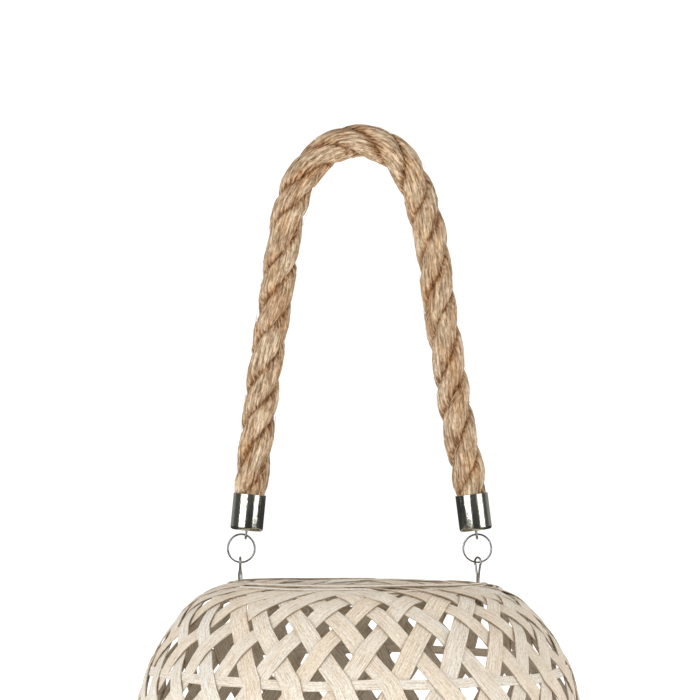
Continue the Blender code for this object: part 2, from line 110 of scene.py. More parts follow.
# The border, where the strips bend over and run round the rim. It starts later on its right half,
# which lies between two angles from LEAD_TURN, and its strips stray and tilt.
BORDER_ZONE = (0.055, 0.064)
BORDER_DELAY = 0.010
RIGHT_START = (-0.25, 0.15)
RIGHT_END = (2.5, 2.9)
BORDER_LAYER = 0.00110
BORDER_TILT_LEFT = 0.00036
BORDER_TILT_RIGHT = 0.00090
BORDER_STRAY = 0.055
STRAY_ZONE = (0.060, 0.090)
TILT_ZONE = (0.088, 0.098)
LAYER_SPREAD = (-0.4, 0.4)
ROOM_SPREAD = (0.76, 1.12)
TILT_SPREAD = (-0.7, 1.3)
LEAD_TURN = math.radians(-6.0)
LEAD_BLEND = 0.08

# The rim isn't quite level: an even rise, one towards the front, and one towards front and back.
# The right shoulder sinks, the back's middle rises, and the strips at the back lie a part of their
# spacing further round.
RIM_LEVEL = (-0.0008, 0.0016, -0.0003)
RIM_ZONE = (0.045, 0.088)
RIGHT_SINK = 0.0014
RIGHT_ZONE = (0.0, 0.05)
BACK_RISE = 0.0024
BACK_LOW_ZONE = (-0.10, -0.02)
BACK_HIGH_ZONE = (0.04, 0.085)
BACK_SHIFT = 0.16

# Splits that run round the top of the border: the angle that each covers, and the distances up the
# wall where it starts and ends. A third of them are short ones, lower down.
SPLITS = 24
SPLIT_LONG = ((1.7, 3.4), (0.082, 0.094), (0.086, 0.099))
SPLIT_SHORT = ((0.7, 1.6), (0.071, 0.082), (0.080, 0.090))
SPLIT_HALF_WIDTHS = (0.0005, 0.0019)
SPLIT_LIFTS = (0.0004, 0.0022)
SPLIT_DIP = 0.0028
SPLIT_TAPER = 0.25
SPLIT_SWAY = 0.0007
SPLIT_PACES = (3.0, 7.0)
SPLIT_THICKNESS = 0.76
RIM_RADIUS = 0.085

# Cane hoops inside the wall, and the cane inside the rim.
HOOP_HALF_WIDTH = 0.0033
HOOP_THICKNESS = 0.8
HOOP_SINK = 0.0002
HOOP_OVERLAP = 0.30
HOOP_STEP = 0.0008
HOOP_RADIUS = 0.15
CORE_RADIUS = 0.0815
CORE_HEIGHT = 0.2430
CORE_CANE = 0.0034

# The rope: levels of its centreline inside a cap, then its route between the caps. A NECK is where
# it swells to full size, as distances from either end.
ROPE_IN_CAP = (0.0034, 0.0140, 0.0256, 0.0310)
ROPE_ROUTE = (
    (-0.0727, 0.3300), (-0.0701, 0.3490), (-0.0678, 0.3690), (-0.0652, 0.3900),
    (-0.0623, 0.4110), (-0.0591, 0.4315), (-0.0562, 0.4520), (-0.0534, 0.4730),
    (-0.0500, 0.4960), (-0.0453, 0.5140), (-0.0390, 0.5280), (-0.0305, 0.5390),
    (-0.0185, 0.5480), (-0.0040, 0.5525), (0.0105, 0.5508), (0.0225, 0.5450),
    (0.0325, 0.5340), (0.0400, 0.5190), (0.0456, 0.5010), (0.0496, 0.4830),
    (0.0530, 0.4600), (0.0564, 0.4315), (0.0600, 0.4110), (0.0632, 0.3900),
    (0.0662, 0.3690), (0.0695, 0.3490), (0.0738, 0.3300),
)
ROPE_RADIUS = 0.0112
ROPE_END_RADIUS = 0.0099
ROPE_LAY = 0.082
ROPE_TWIST = math.radians(5.0)
ROPE_RINGS = 552
ROPE_SIDES = 180
ROPE_NECK = (0.021, 0.031)
STRANDS = 3
GROOVE_DEPTH = 0.0032
GROOVE_NECK = (0.012, 0.034)
LEAST_GROOVE = 0.0004
LUMP = 0.00055

# The jute's fibres lie a little off the rope's axis, and some stand off its surface.
FIBRE_TURN = math.radians(-7.0)
FIBRES = 150
FIBRE_RADIUS = 0.00014
FIBRE_MARGIN = 0.034
FIBRE_LENGTHS = (0.006, 0.017)
FIBRE_SLOPES = (-0.9, 0.9)
FIBRE_RISES = (0.0004, 0.0017)
FIBRE_BENDS = (0.6, 2.0)

# Rope end caps and the staple in each.
CAP_BOTTOM = {"left": (-0.0773, 0.2843), "right": (0.0803, 0.2843)}
CAP_TILT = {"left": math.radians(5.5), "right": math.radians(-7.2)}
CAP_RADIUS = 0.0112
CAP_INSIDE = 0.0104
CAP_LENGTH = 0.0250
CAP_HOLE = 0.0036
CAP_WALL = 0.0008
CAP_LIP = 0.0106
CAP_CORNERS = (0.0003, 0.0024, 0.0002, 0.0002, 0.0016, 0.0001)
STAPLE_WIRE = 0.0007
STAPLE_LEG = ((0.0062, 0.0018), (0.0045, 0.0018), (0.0033, 0.0018), (0.0026, 0.0009))
STAPLE_LOOP = 0.0025
STAPLE_DROP = 0.0031

# Split rings: two turns of wire, each starting at its own angle.
RING_PLACE = {"left": (-0.0808, 0.0, 0.2720), "right": (0.0812, 0.0, 0.2720)}
RING_RADIUS = 0.0096
RING_WIRE = 0.00062
RING_STEP = 0.00112
RING_WAVE = 0.00006
RING_START = {"left": math.radians(200.0), "right": math.radians(35.0)}
RING_TURN = {"left": math.radians(9.0), "right": 0.0}
RING_SQUEEZE = {"left": 0.965, "right": 1.0}

# Wire eyelets: each has an eye over two legs, and the left one's legs are twisted together.
EYELET_X = {"left": -0.0815, "right": 0.0815}
EYELET_TURN = {"left": 0.0, "right": math.radians(35.0)}
EYELET_TWIST = {"left": 1.35, "right": 0.0}
EYELET_WIRE = 0.00075
EYELET_LEG = ((0.0034, 0.2344), (0.0020, 0.2356), (0.0010, 0.2385), (0.0009, 0.2450),
              (0.0009, 0.2520))
EYE_HEIGHT = 0.2624
EYE_RADIUS = 0.00335
EYE_OPENING = math.radians(45.0)
TWIST_HEIGHTS = (0.2500, 0.2590)

# Base, glass and candle. A profile starts just off the axis, so that its end isn't pinched.
# MELTED is the candle's hollow: radii and how far each is below the candle's top. The candle's
# surface wavers outside MELT_RADIUS, down to MELT_DEPTH.
NEAR_AXIS = 0.0001
BOARD_RADII = (0.1020, 0.1085)
FOOT_INNER = 0.0920
FOOT_OUTER = 0.1090
FOOT_THICKNESS = 0.0044
SEAT_INNER = 0.0485
SEAT_OUTER = 0.0545
NAILS = 6
NAIL_PROFILE = ((0.00005, 0.0), (0.0019, 0.0001), (0.0025, 0.0010), (0.0010, 0.0010),
                (0.0010, 0.0088), (0.00005, 0.0100))
NAIL_CORNERS = (0.0004, 0.0002, 0.0001, 0.0003)
GLASS_RADIUS = 0.0475
GLASS_INSIDE = 0.0445
GLASS_FLOOR = 0.004
CANDLE_RADIUS = 0.0300
MELTED = ((0.0255, 0.0), (0.0180, 0.0016), (0.0090, 0.0022), (0.0013, 0.0022), (0.0013, 0.0112),
          (NEAR_AXIS, 0.0112))
CANDLE_CORNERS = (0.0010, 0.0026, 0.0014, 0.0030, 0.0020, 0.0005, 0.0003)
MELT_DEPTH = 0.012
MELT_RADIUS = 0.02
WICK_RADIUS = 0.00078
WICK_BRAID = 0.00012
WICK_TWIST = 900.0

# Camera, softboxes and studio. The studio's brightness follows a direction's Y or Z: two of its
# values, then the brightness at each.
LENS = 134.6
CAMERA_PLACE = (0.0, -1.8, 0.335)
CAMERA_TARGET = (-0.0062, 0.0, 0.4082)
SOFTBOXES = (
    ("softbox_left", (-1.00, -1.30, 0.75), (1.4, 1.5), 15.0),
    ("softbox_right", (1.35, -0.95, 0.65), (1.1, 1.3), 8.4),
)
LIGHT_TARGET = (0.0, 0.0, 0.3)
BEHIND = (0.15, 0.85, 0.07, 0.95)
ABOVE = (0.25, 0.9, 0.0, 0.7)
MIRRORED = (0.12, 0.60, 0.08, 0.30)
WHITE_WALL = 1.1
FLOOR_GLOW = 0.66

# A strip's section, in half widths and half thicknesses, and the material of each of its sides:
# outside, inside or edge. The inside and edge materials are raw bamboo, darkened further as
# painted shade.
SECTION = np.array((
    (-0.95, -1.0), (0.0, -1.0), (0.95, -1.0), (1.0, -0.5), (1.0, 0.5), (0.975, 0.92),
    (0.92, 1.0), (0.0, 1.02), (-0.92, 1.0), (-0.975, 0.92), (-1.0, 0.5), (-1.0, -0.5),
))
SECTION_SLOTS = [1, 1, 2, 2, 2, 0, 0, 0, 0, 2, 2, 2]
WIDE = SECTION[None, :, 0]
THICK = 0.5 * STRIP_THICKNESS * SECTION[None, :, 1]
AROUND = np.append(SECTION[:, 0], SECTION[0, 0])
# Every other rim split's top face takes this slot's paler material: a painted highlight.
PAINTED_HIGHLIGHT_SLOT = 3

# Every strip shows its own stretch of the grain: where it starts, then half of its width.
GRAIN_SHIFT = (0.0, 9.0)
STRIP_GRAIN = 0.006
SPLIT_GRAIN = 0.002
HOOP_GRAIN = 0.003

SIDES = ("left", "right")
BACKWARD = np.array([[0.0, 1.0, 0.0]])
ASKEW = np.array([[0.31, 0.52, 0.79]])

random = np.random.RandomState(7)


# Camera, light and stage

def aim(thing, target):
    direction = Vector(target) - thing.location
    thing.rotation_euler = direction.to_track_quat("-Z", "Y").to_euler()


def make_camera():
    data = bpy.data.cameras.new("camera")
    data.sensor_width = 36.0
    data.lens = LENS
    data.clip_start = 0.05
    camera = bpy.data.objects.new("camera", data)
    bpy.context.scene.collection.objects.link(camera)
    camera.location = CAMERA_PLACE
    aim(camera, CAMERA_TARGET)
    bpy.context.scene.camera = camera


def softbox(name, spot, size, power):
    data = bpy.data.lights.new(name, "AREA")
    data.shape = "RECTANGLE"
    data.size, data.size_y = size
    data.energy = power
    lamp = bpy.data.objects.new(name, data)
    bpy.context.scene.collection.objects.link(lamp)
    lamp.location = spot
    aim(lamp, LIGHT_TARGET)
    lamp.visible_camera = False


class Nodes:
    """A short way to write a node tree."""

    def __init__(self, tree):
        self.tree = tree

    def add(self, kind, **settings):
        node = self.tree.nodes.new(kind)
        for key, value in settings.items():
            setattr(node, key, value)
        return node

    def feed(self, source, target, socket):
        self.tree.links.new(source, target.inputs[socket])


def mapped(nodes, source, limits, kind="SMOOTHSTEP"):
    """A value carried from one range to another. limits are the two inputs, then their outputs."""
    node = nodes.add("ShaderNodeMapRange", interpolation_type=kind)
    for socket, value in zip(("From Min", "From Max", "To Min", "To Max"), limits):
        node.inputs[socket].default_value = value
    nodes.feed(source, node, "Value")
    return node.outputs["Result"]


def make_world():
    """A white studio: white wherever it is seen, dark in front, bright behind and above."""
    world = bpy.data.worlds.new("studio")
    world.use_nodes = True
    bpy.context.scene.world = world
    nodes = Nodes(world.node_tree)
    background = world.node_tree.nodes["Background"]
    parts = nodes.add("ShaderNodeSeparateXYZ")
    nodes.feed(nodes.add("ShaderNodeTexCoord").outputs["Generated"], parts, "Vector")
    light = maths(nodes, "ADD", mapped(nodes, parts.outputs["Y"], BEHIND),
                  mapped(nodes, parts.outputs["Z"], ABOVE))
    rays = nodes.add("ShaderNodeLightPath").outputs
    studio = nodes.add("ShaderNodeMix", data_type="FLOAT")
    nodes.feed(rays["Is Glossy Ray"], studio, 0)
    nodes.feed(light, studio, 2)
    nodes.feed(mapped(nodes, parts.outputs["Y"], MIRRORED), studio, 3)
    seen = maths(nodes, "MAXIMUM", rays["Is Camera Ray"], rays["Is Transmission Ray"])
    strength = nodes.add("ShaderNodeMix", data_type="FLOAT")
    nodes.feed(seen, strength, 0)
    nodes.feed(studio.outputs[0], strength, 2)
    strength.inputs[3].default_value = WHITE_WALL
    background.inputs["Color"].default_value = (1.0, 1.0, 1.0, 1.0)
    nodes.feed(strength.outputs[0], background, "Strength")


def make_stage():
    bpy.ops.mesh.primitive_plane_add(size=14.0, location=(0.0, 0.0, 0.0))
    floor = bpy.context.object
    floor.name = "floor"
    material = bpy.data.materials.new("pale_floor")
    material.use_nodes = True
    shader = material.node_tree.nodes["Principled BSDF"]
    shader.inputs["Roughness"].default_value = 0.95
    shader.inputs["Specular IOR Level"].default_value = 0.1
    shader.inputs["Emission Color"].default_value = (1.0, 1.0, 1.0, 1.0)
    nodes = Nodes(material.node_tree)
    rays = nodes.add("ShaderNodeLightPath").outputs
    mirrored = maths(nodes, "SUBTRACT", rays["Is Glossy Ray"], rays["Is Transmission Ray"],
                     clamp=True)
    glow = maths(nodes, "SUBTRACT", FLOOR_GLOW, maths(nodes, "MULTIPLY", mirrored, FLOOR_GLOW))
    nodes.feed(glow, shader, "Emission Strength")
    paint = nodes.add("ShaderNodeMix", data_type="RGBA")
    nodes.feed(mirrored, paint, 0)
    paint.inputs[6].default_value = (0.9, 0.9, 0.9, 1.0)
    paint.inputs[7].default_value = (0.05, 0.05, 0.05, 1.0)
    nodes.feed(paint.outputs[2], shader, "Base Color")
    floor.data.materials.append(material)
    for box in SOFTBOXES:
        softbox(*box)
    make_world()
    bpy.context.scene.view_settings.view_transform = "Standard"


# Materials

def make_material(name):
    material = bpy.data.materials.new(name)
    material.use_nodes = True
    return material, material.node_tree.nodes["Principled BSDF"], Nodes(material.node_tree)


def stretched_noise(nodes, scale, detail=3.0, source="UV", turn=0.0, crinkle=0.0):
    """Noise on the surface's own coordinates, turned, then with a scale for each axis."""
    coordinates = nodes.add("ShaderNodeTexCoord")
    mapping = nodes.add("ShaderNodeMapping", vector_type="TEXTURE")
    mapping.inputs["Rotation"].default_value = (0.0, 0.0, turn)
    mapping.inputs["Scale"].default_value = [1.0 / value for value in scale]
    texture = nodes.add("ShaderNodeTexNoise")
    texture.inputs["Scale"].default_value = 1.0
    texture.inputs["Detail"].default_value = detail
    texture.inputs["Distortion"].default_value = crinkle
    nodes.feed(coordinates.outputs[source], mapping, "Vector")
    nodes.feed(mapping.outputs["Vector"], texture, "Vector")
    return texture.outputs["Fac"]


def ramp(nodes, source, stops):
    node = nodes.add("ShaderNodeValToRGB")
    elements = node.color_ramp.elements
    while len(elements) < len(stops):
        elements.new(0.5)
    for element, (position, colour) in zip(elements, stops):
        element.position = position
        element.color = (*colour, 1.0)
    nodes.feed(source, node, "Fac")
    return node.outputs["Color"]


def multiplied(nodes, first, second, factor=1.0):
    """One colour darkened by another, as far as factor says."""
    node = nodes.add("ShaderNodeMix", data_type="RGBA", blend_type="MULTIPLY")
    node.inputs[0].default_value = factor
    nodes.feed(first, node, 6)
    nodes.feed(second, node, 7)
    return node.outputs[2]


def maths(nodes, operation, first, second, clamp=False):
    """A sum on two values. Each may be a socket or a number."""
    node = nodes.add("ShaderNodeMath", operation=operation, use_clamp=clamp)
    for socket, value in enumerate((first, second)):
        if isinstance(value, bpy.types.NodeSocket):
            nodes.tree.links.new(value, node.inputs[socket])
        else:
            node.inputs[socket].default_value = value
    return node.outputs[0]


def bump(nodes, shader, height, distance, strength=1.0):
    node = nodes.add("ShaderNodeBump")
    node.inputs["Distance"].default_value = distance
    node.inputs["Strength"].default_value = strength
    nodes.feed(height, node, "Height")
    nodes.feed(node.outputs["Normal"], shader, "Normal")


def bamboo(name, pale, warm, streak):
    """Split bamboo with grain along the strip: pale wash over a warm ground."""
    material, shader, nodes = make_material(name)
    tone = nodes.add("ShaderNodeAttribute", attribute_name="tone").outputs["Fac"]
    patches = stretched_noise(nodes, (330.0, 24.0, 1.0), 4.0)
    wash = maths(nodes, "ADD", patches, maths(nodes, "MULTIPLY", tone, 0.42))
    ground = ramp(nodes, wash, ((0.40, pale), (1.00, warm)))
    grain = stretched_noise(nodes, (1500.0, 75.0, 1.0), 3.0)
    lines = ramp(nodes, grain, ((0.46, (1.0, 1.0, 1.0)), (0.64, streak)))
    flecks = ramp(nodes, stretched_noise(nodes, (1500.0, 450.0, 1.0), 2.0), (
        (0.38, (0.78, 0.76, 0.73)), (0.54, (1.0, 1.0, 1.0)),
    ))
    colour = multiplied(nodes, multiplied(nodes, ground, lines, 0.9), flecks, 0.9)
    nodes.feed(colour, shader, "Base Color")
    shader.inputs["Roughness"].default_value = 0.72
    shader.inputs["Specular IOR Level"].default_value = 0.3
    bump(nodes, shader, grain, 0.00035, 0.6)
    return material


def jute():
    """Fibres along the rope in pale and dark streaks, with broken, browner painted shade in the
    grooves.
    """
    material, shader, nodes = make_material("jute_rope")
    groove = nodes.add("ShaderNodeAttribute", attribute_name="groove").outputs["Fac"]
    yarns = stretched_noise(nodes, (560.0, 58.0, 1.0), 3.0, turn=FIBRE_TURN, crinkle=0.35)
    fibres = stretched_noise(nodes, (1300.0, 240.0, 1.0), 2.0, turn=FIBRE_TURN, crinkle=0.8)
    streaks = maths(nodes, "ADD", maths(nodes, "MULTIPLY", yarns, 0.6),
                    maths(nodes, "MULTIPLY", fibres, 0.4))
    colour = ramp(nodes, streaks, (
        (0.34, (0.15, 0.09, 0.05)), (0.47, (0.38, 0.275, 0.175)), (0.61, (0.75, 0.61, 0.44)),
    ))
    broken = maths(nodes, "MULTIPLY", stretched_noise(nodes, (620.0, 280.0, 1.0), 3.0), 1.3)
    # Painted shade: the grooves are darkened and browned, broken up by noise.
    depth = maths(nodes, "ADD", groove, maths(nodes, "SUBTRACT", broken, 0.65))
    shade = ramp(nodes, depth, (
        (0.50, (1.0, 1.0, 1.0)), (0.85, (0.80, 0.68, 0.58)), (1.15, (0.46, 0.31, 0.20)),
    ))
    patches = ramp(nodes, stretched_noise(nodes, (75.0, 30.0, 1.0), 3.0), (
        (0.42, (1.04, 1.04, 1.04)), (0.68, (0.86, 0.70, 0.56)),
    ))
    flecks = ramp(nodes, stretched_noise(nodes, (800.0, 300.0, 1.0), 2.0, turn=FIBRE_TURN), (
        (0.55, (1.03, 1.03, 1.03)), (0.70, (0.76, 0.55, 0.34)),
    ))
    for tint in (shade, patches, flecks):
        colour = multiplied(nodes, colour, tint)
    nodes.feed(colour, shader, "Base Color")
    shader.inputs["Roughness"].default_value = 0.92
    shader.inputs["Specular IOR Level"].default_value = 0.25
    bump(nodes, shader, streaks, 0.0016)
    return material


def nickel():
    """Bright plate, faintly smudged and uneven."""
    material, shader, nodes = make_material("nickel_plate")
    smudge = stretched_noise(nodes, (260.0, 260.0, 260.0), 4.0, "Object")
    nodes.feed(ramp(nodes, smudge, ((0.3, (0.68, 0.67, 0.58)), (0.7, (0.80, 0.79, 0.70)))),
               shader, "Base Color")
    nodes.feed(mapped(nodes, smudge, (0.0, 1.0, 0.09, 0.19), "LINEAR"), shader, "Roughness")
    shader.inputs["Metallic"].default_value = 1.0
    bump(nodes, shader, stretched_noise(nodes, (620.0, 620.0, 300.0), 2.0, "Object"), 0.00007)
    return material


def simple_grain(name, colours, scale, roughness, distance, metallic=0.0):
    """Grain between two colours, with matching bumps."""
    material, shader, nodes = make_material(name)
    grain = stretched_noise(nodes, scale, 4.0, "Object")
    nodes.feed(ramp(nodes, grain, ((0.3, colours[0]), (0.7, colours[1]))), shader, "Base Color")
    shader.inputs["Roughness"].default_value = roughness
    shader.inputs["Metallic"].default_value = metallic
    bump(nodes, shader, grain, distance, 0.5)
    return material


def clear_glass():
    """Clear glass, faintly uneven."""
    material, shader, nodes = make_material("clear_glass")
    shader.inputs["Base Color"].default_value = (0.97, 1.0, 0.99, 1.0)
    shader.inputs["Transmission Weight"].default_value = 1.0
    shader.inputs["IOR"].default_value = 1.5
    waves = stretched_noise(nodes, (18.0, 18.0, 40.0), 2.0, "Object")
    nodes.feed(mapped(nodes, waves, (0.0, 1.0, 0.01, 0.05), "LINEAR"), shader, "Roughness")
    return material


def wax():
    """Ivory wax, slightly clouded."""
    material, shader, nodes = make_material("ivory_wax")
    clouds = stretched_noise(nodes, (35.0, 35.0, 22.0), 3.0, "Object")
    nodes.feed(ramp(nodes, clouds, ((0.3, (0.86, 0.80, 0.66)), (0.7, (0.94, 0.90, 0.79)))),
               shader, "Base Color")
    shader.inputs["Roughness"].default_value = 0.42
    shader.inputs["Subsurface Weight"].default_value = 0.25
    shader.inputs["Subsurface Scale"].default_value = 0.01
    bump(nodes, shader, clouds, 0.0006, 0.4)
    return material


# Mesh building

class Patchwork:
    """Collects tubes of quads into one mesh."""

    def __init__(self):
        self.points = []
        self.faces = []
        self.uvs = []
        self.slots = []
        self.tags = []
        self.count = 0

    def add(self, points, across, along, tag=0.5, slots=None, ring=False):
        """points is rows by columns by 3. Columns close round. Rows close if ring, or get ends."""
        rows, columns, _ = points.shape
        slots = slots or [0] * columns
        self.points.append(points.reshape(-1, 3))
        self.tags.append(np.broadcast_to(tag, (rows, columns)).reshape(-1))
        base = self.count
        for i in range(rows if ring else rows - 1):
            here = base + i * columns
            there = base + ((i + 1) % rows) * columns
            for j in range(columns):
                k = (j + 1) % columns
                self.faces.append((here + j, here + k, there + k, there + j))
                self.uvs += (
                    (across[j], along[i]), (across[j + 1], along[i]),
                    (across[j + 1], along[i + 1]), (across[j], along[i + 1]),
                )
                self.slots.append(slots[j])
        if not ring:
            first = range(base, base + columns)
            last = range(base + (rows - 1) * columns, base + rows * columns)
            for face, level in ((first[::-1], along[0]), (last, along[-1])):
                self.faces.append(tuple(face))
                self.uvs += ((across[j], level) for j in range(columns))
                self.slots.append(slots[0])
        self.count += rows * columns

    def add_wire(self, points, radius, sides):
        """A round wire along points."""
        side = np.cross(unit(np.gradient(points, axis=0)), ASKEW)
        angles = np.linspace(0.0, math.tau, sides, endpoint=False)
        section = radius * np.stack([np.cos(angles), np.sin(angles)], axis=1)
        self.add(swept(points, side, section[None, :, :]), np.linspace(0.0, 1.0, sides + 1),
                 lengths_along(points))

    def build(self, name, materials, tag_name="tone", sharp=35.0):
        mesh = bpy.data.meshes.new(name)
        mesh.from_pydata(np.concatenate(self.points).tolist(), [], self.faces)
        layer = mesh.uv_layers.new(name="UVMap")
        layer.data.foreach_set("uv", np.array(self.uvs, np.float32).reshape(-1))
        mesh.polygons.foreach_set("material_index", self.slots)
        tags = mesh.attributes.new(tag_name, "FLOAT", "POINT")
        tags.data.foreach_set("value", np.concatenate(self.tags).astype(np.float32))
        for material in materials:
            mesh.materials.append(material)
        mesh.shade_smooth()
        mesh.set_sharp_from_angle(angle=math.radians(sharp))
        mesh.update()
        thing = bpy.data.objects.new(name, mesh)
        bpy.context.scene.collection.objects.link(thing)
        return thing


def unit(vectors):
    return vectors / np.linalg.norm(vectors, axis=-1, keepdims=True)


def lengths_along(points):
    steps = np.linalg.norm(np.diff(points, axis=0), axis=1)
    return np.concatenate(([0.0], np.cumsum(steps)))


def resample(points, count):
    lengths = lengths_along(points)
    marks = np.linspace(0.0, lengths[-1], count)
    return np.stack([np.interp(marks, lengths, points[:, k]) for k in range(3)], axis=1)


def catmull_rom(points, per_span=24):
    ends = [2.0 * points[0] - points[1], *points, 2.0 * points[-1] - points[-2]]
    t = np.linspace(0.0, 1.0, per_span, endpoint=False)[:, None]
    spans = []
    for p0, p1, p2, p3 in zip(ends, ends[1:], ends[2:], ends[3:]):
        spans.append(0.5 * (
            2.0 * p1 + (p2 - p0) * t + (2.0 * p0 - 5.0 * p1 + 4.0 * p2 - p3) * t ** 2
            + (3.0 * p1 - p0 - 3.0 * p2 + p3) * t ** 3
        ))
    return np.concatenate(spans + [ends[-2][None, :]])


def swept(points, side, section):
    """Carries a section along points. side is a direction off the path for its first axis."""
    tangents = unit(np.gradient(points, axis=0))
    first = unit(side - tangents * np.sum(side * tangents, axis=1, keepdims=True))
    second = np.cross(tangents, first)
    return (points[:, None, :] + first[:, None, :] * section[..., 0:1]
            + second[:, None, :] * section[..., 1:2])


def turned(name, profile, steps, material, wobble=None):
    """A ring-shaped or capped body: a closed profile of radius and height, turned about Z."""
    angles = np.linspace(0.0, math.tau, steps, endpoint=False)
    radius, height = (profile[None, :, k] * np.ones((steps, 1)) for k in (0, 1))
    if wobble is not None:
        radius, height = wobble(angles[:, None], radius, height)
    points = np.stack([radius * np.cos(angles)[:, None], radius * np.sin(angles)[:, None],
                       height], axis=2)
    across = lengths_along(np.concatenate([profile, profile[:1]]))
    along = np.append(angles, math.tau) * float(profile[:, 0].max())
    work = Patchwork()
    work.add(points[::-1], across, along, ring=True)
    return work.build(name, [material])


def wire(name, points, radius, sides, material):
    work = Patchwork()
    work.add_wire(points, radius, sides)
    return work.build(name, [material])


def wire_loop(leg, centre, radius, angles, per_span):
    """A line along one leg, round a loop and back along the other. leg holds Y and Z."""
    loop = [(radius * math.cos(a), centre + radius * math.sin(a)) for a in angles]
    line = [*leg, *loop, *((-y, z) for y, z in reversed(leg))]
    return catmull_rom([np.array((0.0, y, z)) for y, z in line], per_span)


def rounded(points, corners, steps):
    """Rounds the corners of an open profile. corners has a radius for each of them."""
    line = [np.array(points[0])]
    for before, corner, after, r in zip(points, points[1:], points[2:], corners):
        before, corner, after = (np.array(p) for p in (before, corner, after))
        first = corner + (before - corner) * r / np.linalg.norm(before - corner)
        last = corner + (after - corner) * r / np.linalg.norm(after - corner)
        for t in np.linspace(0.0, 1.0, steps + 1):
            line.append((1 - t) ** 2 * first + 2 * t * (1 - t) * corner + t ** 2 * last)
    line.append(np.array(points[-1]))
    return np.array(line)


def rounded_ring(points, corners, steps):
    """The same for a closed profile, turned round for turned(). Its first point stays sharp."""
    return rounded([*points, points[0]], corners, steps)[-2::-1]


def transform(thing, matrix):
    thing.data.transform(matrix)
    thing.data.update()
    return thing


def place(piece, body, slot, *nodes):
    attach(piece, body)
    if nodes:
        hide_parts(*nodes)


def levels(node):
    low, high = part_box(node)
    return low.z, high.z


# The basket wall's meridian

def outline():
    """The wall's outer outline as a dense line of radius and height."""
    rise = (FOOT_HEIGHT - BELLY_HEIGHT) / SHOULDER_RISE
    start = -math.asin(abs(rise) ** (0.5 * SHAPE_POWER))
    rise = (SHOULDER[0][1] - BELLY_HEIGHT) / SHOULDER_RISE
    end = math.asin(rise ** (0.5 * SHAPE_POWER))
    lower = []
    for u in np.linspace(start, end, 12)[:-1]:
        radius = BELLY_RADIUS * math.cos(u) ** (2.0 / SHAPE_POWER)
        climb = SHOULDER_RISE * abs(math.sin(u)) ** (2.0 / SHAPE_POWER)
        lower.append((radius, BELLY_HEIGHT + math.copysign(climb, u)))
    return catmull_rom([np.array(p) for p in (*lower, *SHOULDER)], 90)


def meridian():
    """Distance up the wall, and the middle surface's radius, height and outward normal."""
    line = outline()
    arc = lengths_along(line)
    even = np.linspace(0.0, arc[-1], 4000)
    line = np.stack([np.interp(even, arc, line[:, k]) for k in (0, 1)], 1)
    kernel = np.hanning(161)
    kernel /= kernel.sum()
    padded = np.concatenate([
        2.0 * line[0] - line[80:0:-1], line, 2.0 * line[-1] - line[-2:-82:-1]])
    line = np.stack([np.convolve(padded[:, k], kernel, "valid") for k in (0, 1)], 1)
    arc = lengths_along(line)
    tangent = unit(np.gradient(line, arc, axis=0))
    normal = np.stack([tangent[:, 1], -tangent[:, 0]], 1)
    line = line - MIDDLE_DEPTH * normal
    crown = int(np.argmax(line[:, 1]))
    arc = arc - np.interp(UPPER_HOOP_HEIGHT, line[:crown, 1], arc[:crown])
    return arc, line, normal, crown


ARC, MIDDLE, NORMAL, CROWN = meridian()


def smoothstep(x, low, high):
    t = np.clip((x - low) / (high - low), 0.0, 1.0)
    return t * t * (3.0 - 2.0 * t)


def fade_out(x, low, high):
    """One below low, falling to nothing above high."""
    return smoothstep(-x, -high, -low)


def on_wall(arc, azimuth, lift):
    """Points on the wall: distance up it, angle from the front towards +X, and height above it."""
    radius = np.interp(arc, ARC, MIDDLE[:, 0]) + lift * np.interp(arc, ARC, NORMAL[:, 0])
    height = np.interp(arc, ARC, MIDDLE[:, 1]) + lift * np.interp(arc, ARC, NORMAL[:, 1])
    even, front, oval = RIM_LEVEL
    level = even + front * np.cos(azimuth) + oval * np.cos(2.0 * azimuth)
    height = height + level * smoothstep(arc, *RIM_ZONE)
    right = smoothstep(np.sin(azimuth), 0.3, 0.9)
    height = height - RIGHT_SINK * right * smoothstep(arc, *RIGHT_ZONE)
    back = 0.5 - 0.5 * np.cos(azimuth)
    middle = smoothstep(arc, *BACK_LOW_ZONE) * fade_out(arc, *BACK_HIGH_ZONE)
    height = height + BACK_RISE * back * middle
    return np.stack([radius * np.sin(azimuth), -radius * np.cos(azimuth), height], axis=-1)


def arc_at(height):
    return float(np.interp(height, MIDDLE[:CROWN, 1], ARC[:CROWN]))


def strip_run():
    """A strip's way up the wall and round the rim: distance up, turn about Z and slant."""
    arc = np.linspace(ARC[0], ARC[-1], 5000)
    slant = np.radians(np.interp(arc, SLANT_PLACES, SLANT_DEGREES))
    kernel = np.hanning(121)
    slant = np.convolve(np.pad(slant, 60, "edge"), kernel / kernel.sum(), "valid")
    rate = np.tan(slant) / np.interp(arc, ARC, MIDDLE[:, 0])
    turn = np.concatenate(([0.0], np.cumsum(0.5 * (rate[1:] + rate[:-1]) * np.diff(arc))))
    turn -= np.interp(0.0, arc, turn)
    keep = arc < ARC[-1] - END_GAP
    arc, turn, slant = arc[keep], turn[keep], slant[keep]
    run = lengths_along(np.stack([arc, turn * np.interp(arc, ARC, MIDDLE[:, 0])], 1))
    marks = np.linspace(0.0, run[-1], STRIP_ROWS)
    return marks, *(np.interp(marks, run, values) for values in (arc, turn, slant))


